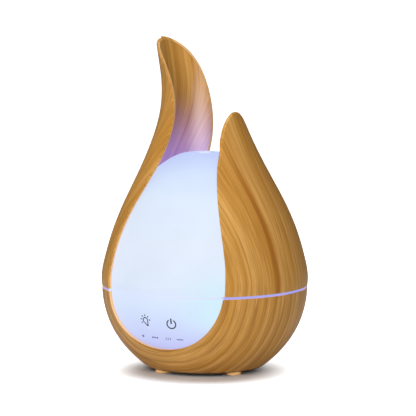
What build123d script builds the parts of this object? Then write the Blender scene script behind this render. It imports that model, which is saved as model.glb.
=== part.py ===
"""Cool mist humidifier: a flame-shaped wood-look case round a glowing inner dome.

Frame: millimetres, +Z up, origin on the table at the centre of the round base.
The window with the touch keys faces -Y, the tall petal stands at -X and the
short petal at +X.  Angles named *_AZIMUTH are degrees from -Y towards +X.
"""
import os
from math import cos, hypot, radians, sin, tan

from build123d import *

os.makedirs("parts", exist_ok=True)

# ---------------------------------------------------------------- driving sizes
WALL = 2.5               # wood-look case
DOME_WALL = 2.0          # translucent inner parts
PANEL_WALL = 1.8
FIT = 0.2                # air between neighbouring curved shells
BASE_RIM_Z = 56.2        # top edge of the lower case
COVER_RIM_Z = 57.9       # bottom edge of the lift-off cover
BOTTOM_Z = 2.2           # underside of the bottom cover
BOTTOM_PLATE = 2.5
BOTTOM_RADIUS = 40.2
SHELL_FOOT_Z = 3.0

# half outline of the round body: (radius, height)
BASE_OUTLINE = [(40.9, 3.0), (47.0, 8.0), (54.8, 16.0), (62.8, 28.0), (68.0, 42.0), (69.95, 56.2)]
COVER_OUTLINE = [(70.0, 57.9), (68.2, 76.0), (62.6, 95.0), (54.2, 115.0), (44.0, 135.0),
                 (34.7, 155.0), (27.8, 175.0), (25.3, 195.0), (26.1, 212.0), (27.2, 232.0)]
LEAN_START_Z = 95.0      # above this the round sections drift towards the tall petal
LEAN_TOP = 7.7
LEAN_SPAN = 133.0
LEAN_POWER = 1.75

# front view of the window: down the tall petal, round the bowl, up the short petal
WINDOW_EDGE = [(-36.5, 227.0), (-25.6, 217.0), (-14.0, 198.4), (-8.4, 172.0), (-14.3, 143.5),
               (-30.5, 111.0), (-40.4, 82.4), (-42.4, 62.0), (-38.8, 42.0), (-24.1, 27.1),
               (0.0, 20.4), (25.9, 27.2), (40.7, 44.2), (45.1, 63.0), (42.6, 83.7),
               (34.4, 112.0), (26.9, 137.0), (24.2, 152.2)]
# rear view of the opening between the petals, which ends above the light ring
REAR_EDGE = [(-36.5, 227.0), (-24.5, 216.0), (-12.6, 195.0), (-9.3, 177.0), (-12.2, 156.5),
             (-19.0, 138.0), (-22.0, 120.0), (-14.0, 101.0), (0.0, 96.0), (14.0, 101.0),
             (23.0, 118.0), (25.5, 137.0), (24.2, 152.2)]
# side view of the short petal's tip: (half width, height)
SHORT_TIP = [(41.6, 126.5), (33.8, 135.0), (27.6, 144.0), (22.8, 152.2), (18.4, 160.0),
             (13.6, 167.2), (7.6, 173.0), (0.0, 175.8)]
# cut edges that are rounded: shortest and longest length, height reached, radius
ROUNDED_EDGES = [(180.0, 210.0, 200.0, 0.7),    # window, up the tall petal
                 (70.0, 110.0, 100.0, 0.7),     # window, up the short petal
                 (40.0, 70.0, 175.0, 0.5)]      # tip of the short petal
REAR_SHARP_Z = 180.0     # rear edges that reach above this stay sharp
CUT_TOP_Z = 240.0        # the openings are cut beyond the outlines on all sides
CUT_SIDE = 60.0
CUT_DEPTH = 90.0
# foot of the cut above that tip, and the sides of the openings above the outlines
TIP_CUT_FOOT_Z = 126.5
SIDE_LOW = (19.5, 168.0)
SIDE_HIGH = (18.0, 180.0)

# glowing dome inside the petals: it follows the case, then closes over the tank
DOME_OUTLINE = [(67.4, 57.9), (65.3, 76.0), (59.6, 95.0), (50.6, 115.0), (40.0, 130.0),
                (30.0, 139.0), (18.0, 146.0), (6.5, 147.6)]
MIST_HOLE_RADIUS = 6.5
NOZZLE_BORE = 4.5
NOZZLE_DROP = 4.0
NOZZLE_LIP = 1.2

# lower case
LEAD_RADIUS = 0.8
PILLAR_RING = 36.5
PILLAR_RADIUS = 3.0
PILLAR_WEB = 4.0
PILLAR_WEB_OUTER = 51.0
PILLAR_AZIMUTHS = [19.0, 109.0, 199.0, 300.0]
BOARD_Z = 12.0
BOARD_THICK = 1.6
FOOT_RING = 34.4
FOOT_RADIUS = 5.0
FOOT_HEIGHT = 2.7
FOOT_AZIMUTHS = {"foot_front_left": -26.0, "foot_front_right": 64.0,
                 "foot_rear_right": 154.0, "foot_rear_left": 244.0}
RIB_AZIMUTHS = [100.0, 180.0, 260.0]
RIB_WIDTH = 7.0
TANK_FLANGE_RADIUS = 65.0
TANK_FLANGE_Z = 54.2
TANK_FLOOR_Z = 24.0
TANK_WALL = 2.0
TANK_SCREW_RING = 61.2
CHIMNEY_XY = (-27.0, 8.0)
CHIMNEY_RADIUS = 8.0
CHIMNEY_BORE = 6.5
CHIMNEY_TOP_Z = 62.0
TUBE_COLLAR_RADIUS = 9.4
TUBE_COLLAR_HEIGHT = 1.6
RING_OUTER = 69.2
RING_INNER = 65.2
RING_TOP_Z = 57.7
PANEL_HALF_ANGLE = 50.0

RIB_INNER = 58.2
RIB_OUTER = 69.0
RIB_FOOT_Z = 47.0
SCREW_HOLE = 1.25
SCREW_SHANK = 1.2
SCREW_CLEARANCE = 1.5
SMALL_SCREW_HOLE = 1.0

# fan, 30 mm frame
FAN_XY = (-20.0, 6.0)
FAN_SIZE = 30.0
FAN_Z = 6.2
FAN_DEPTH = 10.0
FAN_BORE = 13.9
FAN_HOLES = 24.0
SHAFT_RADIUS = 1.0
ROTOR_RADIUS = 13.2
CUP_RADIUS = 9.0
BLADES = 7

# mist maker
DISC_RADIUS = 9.9
SEAT_RADIUS = 11.0
SEAT_HEIGHT = 2.6
SEAT_WINDOW = 8.5        # hole in the tank floor over the disc
BRACKET_RADIUS = 13.0
BRACKET_SCREW_RING = 17.0
BRACKET_SCREWS = [60.0, 180.0, 300.0]
BRACKET_TOP_Z = 21.4
BRACKET_THICK = 1.4
BRACKET_LUG = 3.2
DISC_Z = 22.1
DISC_THICK = 1.1
CHIMNEY_FOOT_Z = 21.6
DUCT_PLATE_Z = FAN_Z + FAN_DEPTH
DUCT_PLATE = 1.2
DUCT_COLLAR_Z = 21.5
DUCT_COLLAR_HEIGHT = 2.1
DUCT_WALL = 1.2
DUCT_NECK = 9.4
DUCT_MOUTH = 14.4

# boards and what stands on them
BOARD_EDGE_X = -2.5
COIL_XY = (24.0, -16.0)
CAPACITOR_XY = [(15.0, 26.0), (23.5, 27.5)]
SINK_XY = (36.0, -3.0)
CHIP_XY = (14.0, -26.0)
LIGHT_BOARD_Z = 48.0
LIGHT_BOARD_THICK = 1.2
LIGHT_POSTS = [0.0, 78.0, 168.0, 258.0]
LIGHT_POST_RING = 55.6
LED_RING = 56.0
TOUCH_BOARD_Y = -53.6
TOUCH_BOARD_THICK = 1.2
TOUCH_POSTS = [(-14.6, 44.0), (14.6, 44.0)]
TOUCH_POST_RADIUS = 1.7
TOUCH_POST_LENGTH = 9.6
KEY_AZIMUTHS = [-7.8, 9.4]
KEY_Z = 39.5
LABEL_AZIMUTHS = [-13.5, -3.9, 5.6, 13.6]
LABEL_Z = 28.6
FACE_RADIUS = 62.0

# socket for the power plug
SOCKET_Z = 18.6
SOCKET_BORE = 4.3
SOCKET_BACK_Y = 36.6
SOCKET_BODY = 12.0       # length of its square body
SOCKET_WIDTH = 9.0
SOCKET_NECK = 5.8
SOCKET_DEPTH = 9.5
SOCKET_PLUG_RADIUS = 2.8


def around(azimuth, radius):
    """Point at an azimuth, counted from -Y towards +X."""
    return (radius * sin(radians(azimuth)), -radius * cos(radians(azimuth)))


def spots(azimuths, ring):
    return [around(azimuth, ring) for azimuth in azimuths]


def around_flat(azimuth, z):
    """Point of the panel at an azimuth and height, seen from the front."""
    return (FACE_RADIUS * sin(radians(azimuth)), z)


def lean(z):
    """Sideways drift of the round section at height z."""
    rise = max(z - LEAN_START_Z, 0.0) / LEAN_SPAN
    return -LEAN_TOP * rise ** LEAN_POWER


def inset(outline, depth):
    """Outline moved inwards, at right angles to itself; both ends keep their height."""
    moved = []
    last = len(outline) - 1
    for i, (r, z) in enumerate(outline):
        r0, z0 = outline[max(i - 1, 0)]
        r1, z1 = outline[min(i + 1, last)]
        length = hypot(r1 - r0, z1 - z0)
        moved.append((r - depth * (z1 - z0) / length, z + depth * (r1 - r0) / length))
    return moved


def finish(part, label):
    part.label = label
    export_step(part, f"parts/{label}.step")
    print(f"{label:20s} {len(part.solids())} solid(s) {part.volume:9.1f} mm3")


# --------------------------------------------------------------- lift-off cover
def round_stack(outline):
    """Loft through the round sections of an outline, leaning as the body leans."""
    with BuildPart() as stack:
        for r, z in outline:
            with BuildSketch(Plane.XY.offset(z)):
                with Locations((lean(z), 0)):
                    Circle(r)
        loft()
    return stack.part


def opening(edge, direction):
    """Solid that cuts an edge profile through one side of the case."""
    with BuildPart() as cutter:
        with BuildSketch(Plane.XZ) as face:
            with BuildLine():
                line = Spline(*edge)
                Polyline(line @ 1, SIDE_LOW, SIDE_HIGH, (SIDE_HIGH[0], CUT_TOP_Z),
                         (-CUT_SIDE, CUT_TOP_Z), line @ 0)
            make_face()
        extrude(amount=CUT_DEPTH * direction)
    return cutter.part


inner_outline = inset(COVER_OUTLINE, WALL)
inner_outline[0] = (inner_outline[0][0], COVER_RIM_Z - 1.0)
front_opening = opening(WINDOW_EDGE, 1)
rear_opening = opening(REAR_EDGE, -1)

with BuildPart() as short_tip_cut:
    with BuildSketch(Plane.YZ):
        with BuildLine():
            arch = [(-y, z) for y, z in SHORT_TIP] + [(y, z) for y, z in reversed(SHORT_TIP[:-1])]
            tip = Spline(*arch)
            Polyline(tip @ 1, (CUT_SIDE, TIP_CUT_FOOT_Z), (CUT_SIDE, CUT_TOP_Z),
                     (-CUT_SIDE, CUT_TOP_Z), (-CUT_SIDE, TIP_CUT_FOOT_Z), tip @ 0)
        make_face()
    extrude(amount=CUT_DEPTH)


def cut_edges(part, shortest, longest, lowest_top):
    """Long curved edges where an opening is cut: by length, and by the height they reach."""
    picked = []
    for edge in part.edges():
        room = edge.bounding_box()
        rises = room.max.Z - room.min.Z > 1.0
        sideways = room.max.Y - room.min.Y > 1.0
        in_front = edge.center().Y < 0 or room.max.Z < REAR_SHARP_Z
        fits = shortest < edge.length < longest and room.max.Z > lowest_top
        if rises and sideways and in_front and fits:
            picked.append(edge)
    return picked


with BuildPart() as cut_cover:
    add(round_stack(COVER_OUTLINE))
    add(round_stack(inner_outline + [(inner_outline[-1][0], COVER_OUTLINE[-1][1] + 1.0)]),
        mode=Mode.SUBTRACT)
    add(front_opening, mode=Mode.SUBTRACT)
    add(rear_opening, mode=Mode.SUBTRACT)
    add(short_tip_cut.part, mode=Mode.SUBTRACT)
petal_cover = cut_cover.part
for shortest, longest, lowest_top, radius in ROUNDED_EDGES:
    petal_cover = petal_cover.fillet(radius, cut_edges(petal_cover, shortest, longest, lowest_top))
finish(petal_cover, "petal_cover")


def turned(outer, inner, arc=360.0, start=0.0):
    """Shell of revolution between two outlines, over an arc that starts at an azimuth."""
    side = Plane(origin=(0, 0, 0), x_dir=around(start, 1.0) + (0.0,),
                 z_dir=(-cos(radians(start)), -sin(radians(start)), 0.0))
    with BuildPart() as body:
        with BuildSketch(side):
            with BuildLine():
                outside = Spline(*outer)
                inside = Spline(*inner)
                Line(outside @ 0, inside @ 0)
                Line(outside @ 1, inside @ 1)
            make_face()
        revolve(axis=Axis.Z, revolution_arc=arc)
    return body.part


dome_inside = inset(DOME_OUTLINE, DOME_WALL)
dome_inside[0] = (dome_inside[0][0], COVER_RIM_Z)
dome_inside[-1] = (MIST_HOLE_RADIUS, dome_inside[-1][1])
with BuildPart() as mist_dome:
    add(turned(DOME_OUTLINE, dome_inside))
finish(mist_dome.part, "mist_dome")

DOME_TOP_Z = DOME_OUTLINE[-1][1]
with BuildPart() as mist_nozzle:
    with BuildSketch(Plane.XY.offset(DOME_TOP_Z - NOZZLE_DROP)):
        Circle(MIST_HOLE_RADIUS - 0.1)
        Circle(NOZZLE_BORE, mode=Mode.SUBTRACT)
    extrude(amount=4.2)
    with BuildSketch(Plane.XY.offset(DOME_TOP_Z - NOZZLE_DROP)):
        Circle(MIST_HOLE_RADIUS + NOZZLE_LIP)
        Circle(NOZZLE_BORE, mode=Mode.SUBTRACT)
    extrude(amount=1.4)
finish(mist_nozzle.part, "mist_nozzle")


# ------------------------------------------------------------------- lower case
COVER_TOP_Z = BOTTOM_Z + BOTTOM_PLATE          # inside face of the bottom cover
base_inside = inset(BASE_OUTLINE[1:], WALL)
base_inside[-1] = (base_inside[-1][0], BASE_RIM_Z)


def solid_bowl():
    """The lower case as if it were full, which trims the ribs inside it."""
    with BuildPart() as bowl:
        with BuildSketch(Plane.XZ):
            with BuildLine():
                side = Spline(*BASE_OUTLINE)
                Polyline(side @ 1, (0, BASE_RIM_Z), (0, SHELL_FOOT_Z), side @ 0)
            make_face()
        revolve(axis=Axis.Z)
    return bowl.part


def arms(azimuths, inner, outer, width, z0, z1):
    """Radial blocks, which stand on the inside of the wall."""
    with BuildPart() as blocks:
        for azimuth in azimuths:
            with BuildSketch(Plane.XY.offset(z0)):
                with Locations(Pos(*around(azimuth, (inner + outer) / 2)) * Rot(0, 0, azimuth - 90)):
                    Rectangle(outer - inner, width)
            extrude(amount=z1 - z0)
        add(solid_bowl(), mode=Mode.INTERSECT)
    return blocks.part


with BuildPart() as base_shell:
    with BuildSketch(Plane.XZ):
        with BuildLine():
            side = Spline(*BASE_OUTLINE)
            inside = Spline(*base_inside)
            Line(side @ 1, inside @ 1)
            Polyline(inside @ 0, (BOTTOM_RADIUS + 0.3, COVER_TOP_Z + 0.6),
                     (BOTTOM_RADIUS + 0.3, SHELL_FOOT_Z), side @ 0)
        make_face()
    revolve(axis=Axis.Z)
    add(arms(PILLAR_AZIMUTHS, PILLAR_RING, PILLAR_WEB_OUTER, PILLAR_WEB, COVER_TOP_Z, BOARD_Z))
    with BuildSketch(Plane.XY.offset(COVER_TOP_Z)):
        with Locations(*spots(PILLAR_AZIMUTHS, PILLAR_RING)):
            Circle(PILLAR_RADIUS)
    extrude(amount=BOARD_Z - COVER_TOP_Z)
    add(arms(RIB_AZIMUTHS, RIB_INNER, RIB_OUTER, RIB_WIDTH, RIB_FOOT_Z, TANK_FLANGE_Z))
    with BuildSketch(Plane.XY.offset(COVER_TOP_Z)):
        with Locations(*spots(PILLAR_AZIMUTHS, PILLAR_RING)):
            Circle(SCREW_HOLE)
    extrude(amount=BOARD_Z - COVER_TOP_Z, mode=Mode.SUBTRACT)
    with BuildSketch(Plane.XY.offset(TANK_FLANGE_Z)):
        with Locations(*spots(RIB_AZIMUTHS, TANK_SCREW_RING)):
            Circle(SCREW_HOLE)
    extrude(amount=-6.0, mode=Mode.SUBTRACT)
    with BuildSketch(Plane.XZ.offset(-45.0)):
        with Locations((0, SOCKET_Z)):
            Circle(SOCKET_BORE)
    extrude(amount=-20.0, mode=Mode.SUBTRACT)
    add(front_opening, mode=Mode.SUBTRACT)
finish(base_shell.part, "base_shell")

panel_outside = inset(BASE_OUTLINE[2:], WALL + FIT)
panel_outside[-1] = (panel_outside[-1][0], BASE_RIM_Z)
panel_inside = inset(panel_outside, PANEL_WALL)
panel_inside[0] = (panel_inside[0][0], panel_outside[0][1])
panel_inside[-1] = (panel_inside[-1][0], BASE_RIM_Z)
with BuildPart() as front_panel:
    add(turned(panel_outside, panel_inside, 2 * PANEL_HALF_ANGLE, -PANEL_HALF_ANGLE))
    with BuildSketch(Plane.XZ.offset(-TOUCH_BOARD_Y)):
        with Locations(*TOUCH_POSTS):
            Circle(TOUCH_POST_RADIUS)
    extrude(amount=TOUCH_POST_LENGTH)
    with BuildSketch(Plane.XZ.offset(-TOUCH_BOARD_Y)):
        with Locations(*TOUCH_POSTS):
            Circle(SMALL_SCREW_HOLE)
    extrude(amount=4.0, mode=Mode.SUBTRACT)
finish(front_panel.part, "front_panel")

with BuildPart() as window_step:
    with BuildSketch(Plane.XY.offset(BASE_RIM_Z - 1)):
        Circle(RING_OUTER + 2)
        Circle(panel_outside[-1][0], mode=Mode.SUBTRACT)
    extrude(amount=4)
    add(front_opening, mode=Mode.INTERSECT)

with BuildPart() as light_ring:
    with BuildSketch(Plane.XY.offset(BASE_RIM_Z)):
        Circle(RING_OUTER)
        Circle(RING_INNER, mode=Mode.SUBTRACT)
    extrude(amount=RING_TOP_Z - BASE_RIM_Z)
    add(window_step.part, mode=Mode.SUBTRACT)
finish(light_ring.part, "light_ring")


# -------------------------------------------------------------------- water tank
def washers(plane, points, outer, inner, height):
    """Row of tubes or, with no bore, of posts."""
    with BuildPart() as rings:
        with BuildSketch(plane):
            with Locations(*points):
                Circle(outer)
            if inner:
                with Locations(*points):
                    Circle(inner, mode=Mode.SUBTRACT)
        extrude(amount=height)
    return rings.part


with BuildPart() as water_tank:
    with BuildSketch(Plane.XZ):
        with BuildLine():
            Polyline((0, TANK_FLOOR_Z), (48.0, TANK_FLOOR_Z), (51.0, 48.0), (57.0, TANK_FLANGE_Z),
                     (TANK_FLANGE_RADIUS, TANK_FLANGE_Z), (TANK_FLANGE_RADIUS, BASE_RIM_Z),
                     (64.6, BASE_RIM_Z), (64.6, 60.0), (63.4, 60.0), (63.4, BASE_RIM_Z),
                     (56.2, BASE_RIM_Z), (49.2, 48.9), (46.0, TANK_FLOOR_Z + TANK_WALL),
                     (0, TANK_FLOOR_Z + TANK_WALL), close=True)
        make_face()
    revolve(axis=Axis.Z)
    add(washers(Plane.XY.offset(BRACKET_TOP_Z), [(0, 0)], BRACKET_RADIUS, 0, SEAT_HEIGHT))
    add(washers(Plane.XY.offset(BRACKET_TOP_Z), spots(BRACKET_SCREWS, BRACKET_SCREW_RING), 2.8, 0,
                SEAT_HEIGHT))
    add(washers(Plane.XY.offset(LIGHT_BOARD_Z + LIGHT_BOARD_THICK), spots(LIGHT_POSTS, LIGHT_POST_RING),
                1.3, 0, TANK_FLANGE_Z - LIGHT_BOARD_Z - LIGHT_BOARD_THICK))
    add(washers(Plane.XY.offset(TANK_FLOOR_Z), [CHIMNEY_XY], CHIMNEY_RADIUS, 0, 3.0), mode=Mode.SUBTRACT)
    add(washers(Plane.XY.offset(BRACKET_TOP_Z), [(0, 0)], SEAT_RADIUS + 0.05, 0, SEAT_HEIGHT),
        mode=Mode.SUBTRACT)
    add(washers(Plane.XY.offset(TANK_FLOOR_Z), [(0, 0)], SEAT_WINDOW, 0, 3.0), mode=Mode.SUBTRACT)
    add(washers(Plane.XY.offset(BRACKET_TOP_Z), spots(BRACKET_SCREWS, BRACKET_SCREW_RING),
                SMALL_SCREW_HOLE, 0, 3.4), mode=Mode.SUBTRACT)
    add(washers(Plane.XY.offset(TANK_FLANGE_Z), spots(RIB_AZIMUTHS, TANK_SCREW_RING),
                SCREW_CLEARANCE, 0, 3.0), mode=Mode.SUBTRACT)
finish(water_tank.part, "water_tank")

with BuildPart() as air_tube:
    add(washers(Plane.XY.offset(CHIMNEY_FOOT_Z), [CHIMNEY_XY], CHIMNEY_RADIUS, CHIMNEY_BORE,
                CHIMNEY_TOP_Z - CHIMNEY_FOOT_Z))
    add(washers(Plane.XY.offset(TANK_FLOOR_Z + TANK_WALL), [CHIMNEY_XY], TUBE_COLLAR_RADIUS,
                CHIMNEY_BORE, TUBE_COLLAR_HEIGHT))
finish(air_tube.part, "air_tube")

with BuildPart() as duct_cap:
    add(washers(Plane.XY.offset(CHIMNEY_TOP_Z - 5.0), [CHIMNEY_XY], CHIMNEY_BORE - 0.1, 5.2, 10.0))
    add(washers(Plane.XY.offset(CHIMNEY_TOP_Z + 5.0), [CHIMNEY_XY], CHIMNEY_RADIUS + 1.0, 0, 1.4))
    for turn in (0, 90):
        with BuildSketch(Plane.XY.offset(CHIMNEY_TOP_Z + 0.8)):
            with Locations(Pos(*CHIMNEY_XY) * Rot(0, 0, turn)):
                Rectangle(20, 7)
        extrude(amount=4.2, mode=Mode.SUBTRACT)
finish(duct_cap.part, "duct_cap")

with BuildPart() as transducer_seal:
    add(washers(Plane.XY.offset(BRACKET_TOP_Z), [(0, 0)], SEAT_RADIUS, 8.0, SEAT_HEIGHT))
    add(washers(Plane.XY.offset(DISC_Z), [(0, 0)], DISC_RADIUS, 0, DISC_THICK), mode=Mode.SUBTRACT)
finish(transducer_seal.part, "transducer_seal")

with BuildPart() as transducer_disc:
    add(washers(Plane.XY.offset(DISC_Z), [(0, 0)], DISC_RADIUS, 0, DISC_THICK))
    fillet(transducer_disc.edges().filter_by(GeomType.CIRCLE), 0.2)
finish(transducer_disc.part, "transducer_disc")

with BuildPart() as transducer_bracket:
    plate = Plane.XY.offset(BRACKET_TOP_Z - BRACKET_THICK)
    add(washers(plate, [(0, 0)], BRACKET_RADIUS, 0, BRACKET_THICK))
    add(washers(plate, spots(BRACKET_SCREWS, BRACKET_SCREW_RING), BRACKET_LUG, 0, BRACKET_THICK))
    add(arms(BRACKET_SCREWS, BRACKET_RADIUS - 1.0, BRACKET_SCREW_RING, 2 * BRACKET_LUG,
             BRACKET_TOP_Z - BRACKET_THICK, BRACKET_TOP_Z))
    add(washers(plate, [(0, 0)], 7.5, 0, BRACKET_THICK), mode=Mode.SUBTRACT)
    add(washers(plate, spots(BRACKET_SCREWS, BRACKET_SCREW_RING), 1.2, 0, BRACKET_THICK),
        mode=Mode.SUBTRACT)
finish(transducer_bracket.part, "transducer_bracket")


# ------------------------------------------------------------------------ screws
def screws(label, plane, points, shank, length, head, head_height):
    """Pan-head screws whose heads sit on a plane and whose shanks go against its normal."""
    with BuildPart() as group:
        with BuildSketch(plane):
            with Locations(*points):
                Circle(shank)
        extrude(amount=-length)
        with BuildSketch(plane):
            with Locations(*points):
                Circle(head)
        extrude(amount=head_height, taper=8)
        for turn in (0, 90):
            with BuildSketch(plane.offset(head_height)):
                with Locations(*points):
                    Rectangle(head * 1.2, 0.5, rotation=turn)
            extrude(amount=-head_height / 2, mode=Mode.SUBTRACT)
    finish(group.part, label)


screws("bracket_screws", Plane.XY.offset(BRACKET_TOP_Z - BRACKET_THICK).rotated((180, 0, 0)),
       [(x, -y) for x, y in spots(BRACKET_SCREWS, BRACKET_SCREW_RING)], 0.95, 4.2, 2.0, 1.1)
screws("tank_screws", Plane.XY.offset(BASE_RIM_Z), spots(RIB_AZIMUTHS, TANK_SCREW_RING),
       SCREW_SHANK, 7.0, 2.0, 1.3)
screws("bottom_screws", Plane.XY.offset(BOTTOM_Z + 1.3).rotated((180, 0, 0)),
       [(x, -y) for x, y in spots(PILLAR_AZIMUTHS, PILLAR_RING)], SCREW_SHANK, 4.4, 2.3, 1.2)
screws("board_screws", Plane.XY.offset(BOARD_Z + BOARD_THICK), spots(PILLAR_AZIMUTHS[:2], PILLAR_RING),
       SCREW_SHANK, 4.4, 2.3, 1.3)
fan_corners = [(FAN_XY[0] + sx * FAN_HOLES / 2, FAN_XY[1] + sy * FAN_HOLES / 2)
               for sx in (-1, 1) for sy in (-1, 1)]
screws("fan_screws", Plane.XY.offset(DUCT_PLATE_Z + DUCT_PLATE), fan_corners, SCREW_SHANK,
       DUCT_PLATE + FAN_DEPTH + 1.8, 2.1, 1.2)
screws("touch_screws", Plane.XZ.offset(-TOUCH_BOARD_Y - TOUCH_BOARD_THICK).rotated((0, 0, 180)),
       [(-x, z) for x, z in TOUCH_POSTS], 0.95, 4.6, 1.8, 1.0)


# ------------------------------------------------------------------------- fan
fan_spot = [FAN_XY]
with BuildPart() as fan_housing:
    with BuildSketch(Plane.XY.offset(FAN_Z)):
        with Locations(FAN_XY):
            RectangleRounded(FAN_SIZE, FAN_SIZE, 2.0)
            Circle(FAN_BORE, mode=Mode.SUBTRACT)
        with Locations(*fan_corners):
            Circle(1.5, mode=Mode.SUBTRACT)
    extrude(amount=FAN_DEPTH)
    with BuildSketch(Plane.XY.offset(FAN_Z)):
        with Locations(FAN_XY):
            Circle(8.5)
            Rectangle(2 * FAN_BORE + 0.4, 2.0, rotation=45)
            Rectangle(2 * FAN_BORE + 0.4, 2.0, rotation=-45)
    extrude(amount=1.4)
    add(washers(Plane.XY.offset(FAN_Z + 1.4), fan_spot, 2.9, 0, 5.6))
    add(washers(Plane.XY.offset(FAN_Z + 1.4), fan_spot, 2.0, 0, 5.6), mode=Mode.SUBTRACT)
finish(fan_housing.part, "fan_housing")

with BuildPart() as fan_bearing:
    add(washers(Plane.XY.offset(FAN_Z + 2.0), fan_spot, 1.95, SHAFT_RADIUS + 0.04, 4.8))
finish(fan_bearing.part, "fan_bearing")

with BuildPart() as fan_stator:
    with BuildSketch(Plane.XY.offset(FAN_Z + 2.8)):
        with Locations(FAN_XY):
            Circle(7.2)
            Circle(3.0, mode=Mode.SUBTRACT)
        with Locations(FAN_XY):
            with PolarLocations(6.0, 4):
                SlotOverall(4.4, 1.4, mode=Mode.SUBTRACT)
    extrude(amount=3.6)
finish(fan_stator.part, "fan_stator")

with BuildPart() as fan_rotor:
    add(washers(Plane.XY.offset(FAN_Z + 2.2), fan_spot, CUP_RADIUS, CUP_RADIUS - 1.2, 5.8))
    add(washers(Plane.XY.offset(FAN_Z + 8.0), fan_spot, CUP_RADIUS, 0, 1.0))
    add(washers(Plane.XY.offset(FAN_Z + 7.2), fan_spot, 2.2, 0, 0.8))
    for k in range(BLADES):
        out = Vector(1, 0, 0).rotate(Axis.Z, k * 360 / BLADES)
        root = Vector(*FAN_XY, FAN_Z + 5.4) + out * (CUP_RADIUS - 0.6)
        with BuildSketch(Plane(origin=root, x_dir=(0, 0, 1), z_dir=out)):
            Rectangle(6.4, 0.9, rotation=38)
        extrude(amount=ROTOR_RADIUS - CUP_RADIUS + 0.6)
    add(washers(Plane.XY.offset(FAN_Z), fan_spot, SHAFT_RADIUS + 0.01, 0, 8.6), mode=Mode.SUBTRACT)
finish(fan_rotor.part, "fan_rotor")

with BuildPart() as fan_shaft:
    add(washers(Plane.XY.offset(FAN_Z + 1.8), fan_spot, SHAFT_RADIUS, 0, 6.8))
    chamfer(fan_shaft.edges().filter_by(GeomType.CIRCLE), 0.15)
finish(fan_shaft.part, "fan_shaft")


def cone(points, radii, heights):
    """Loft between two round sections with different centres."""
    with BuildPart() as body:
        for point, radius, z in zip(points, radii, heights):
            with BuildSketch(Plane.XY.offset(z)):
                with Locations(point):
                    Circle(radius)
        loft()
    return body.part


with BuildPart() as air_duct:
    with BuildSketch(Plane.XY.offset(DUCT_PLATE_Z)):
        with Locations(FAN_XY):
            RectangleRounded(FAN_SIZE, FAN_SIZE, 2.0)
    extrude(amount=DUCT_PLATE)
    duct_z = (DUCT_PLATE_Z + DUCT_PLATE, DUCT_COLLAR_Z)
    add(cone((FAN_XY, CHIMNEY_XY), (DUCT_MOUTH, DUCT_NECK), duct_z))
    add(washers(Plane.XY.offset(DUCT_COLLAR_Z), [CHIMNEY_XY], DUCT_NECK, 0, DUCT_COLLAR_HEIGHT))
    add(washers(Plane.XY.offset(DUCT_PLATE_Z), fan_spot, DUCT_MOUTH - DUCT_WALL, 0, DUCT_PLATE),
        mode=Mode.SUBTRACT)
    add(cone((FAN_XY, CHIMNEY_XY), (DUCT_MOUTH - DUCT_WALL, DUCT_NECK - DUCT_WALL), duct_z),
        mode=Mode.SUBTRACT)
    add(washers(Plane.XY.offset(DUCT_COLLAR_Z), [CHIMNEY_XY], DUCT_NECK - DUCT_WALL, 0,
                DUCT_COLLAR_HEIGHT), mode=Mode.SUBTRACT)
    add(washers(Plane.XY.offset(DUCT_PLATE_Z), fan_corners, 1.5, 0, DUCT_PLATE), mode=Mode.SUBTRACT)
finish(air_duct.part, "air_duct")


# --------------------------------------------------------- bottom cover and feet
with BuildPart() as bottom_cover:
    add(washers(Plane.XY.offset(BOTTOM_Z), [(0, 0)], BOTTOM_RADIUS, 0, BOTTOM_PLATE))
    rim = bottom_cover.edges().filter_by(GeomType.CIRCLE).sort_by(Axis.Z)[0]
    chamfer(rim, 0.6)
    add(washers(Plane.XY.offset(COVER_TOP_Z), fan_corners, 2.4, 0, FAN_Z - COVER_TOP_Z))
    add(washers(Plane.XY.offset(COVER_TOP_Z - 1.0), fan_corners, SCREW_HOLE, 0, 4.0), mode=Mode.SUBTRACT)
    with BuildSketch(Plane.XY.offset(BOTTOM_Z)):
        with Locations(Pos(*FAN_XY)):
            with GridLocations(0, 4.2, 1, 5):
                SlotOverall(19.0, 2.0)
    extrude(amount=BOTTOM_PLATE, mode=Mode.SUBTRACT)
    add(washers(Plane.XY.offset(BOTTOM_Z), spots(PILLAR_AZIMUTHS, PILLAR_RING), 2.6, 0, 1.3),
        mode=Mode.SUBTRACT)
    add(washers(Plane.XY.offset(BOTTOM_Z), spots(PILLAR_AZIMUTHS, PILLAR_RING), SCREW_CLEARANCE, 0,
                BOTTOM_PLATE), mode=Mode.SUBTRACT)
    add(washers(Plane.XY.offset(BOTTOM_Z), spots(FOOT_AZIMUTHS.values(), FOOT_RING),
                FOOT_RADIUS + 0.05, 0, FOOT_HEIGHT - BOTTOM_Z), mode=Mode.SUBTRACT)
finish(bottom_cover.part, "bottom_cover")

for name, azimuth in FOOT_AZIMUTHS.items():
    with BuildPart() as foot:
        add(washers(Plane.XY, [around(azimuth, FOOT_RING)], FOOT_RADIUS, 0, FOOT_HEIGHT))
        fillet(foot.edges().filter_by(GeomType.CIRCLE).sort_by(Axis.Z)[0], 0.9)
    finish(foot.part, name)


# ------------------------------------------------------------------- electronics
with BuildPart() as main_board:
    with BuildSketch(Plane.XY.offset(BOARD_Z)):
        Circle(45.0)
        with Locations((-50 + BOARD_EDGE_X, 0)):
            Rectangle(100, 100, mode=Mode.SUBTRACT)
        with Locations(*spots(PILLAR_AZIMUTHS[:2], PILLAR_RING)):
            Circle(SCREW_CLEARANCE, mode=Mode.SUBTRACT)
    extrude(amount=BOARD_THICK)
finish(main_board.part, "main_board")

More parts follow.
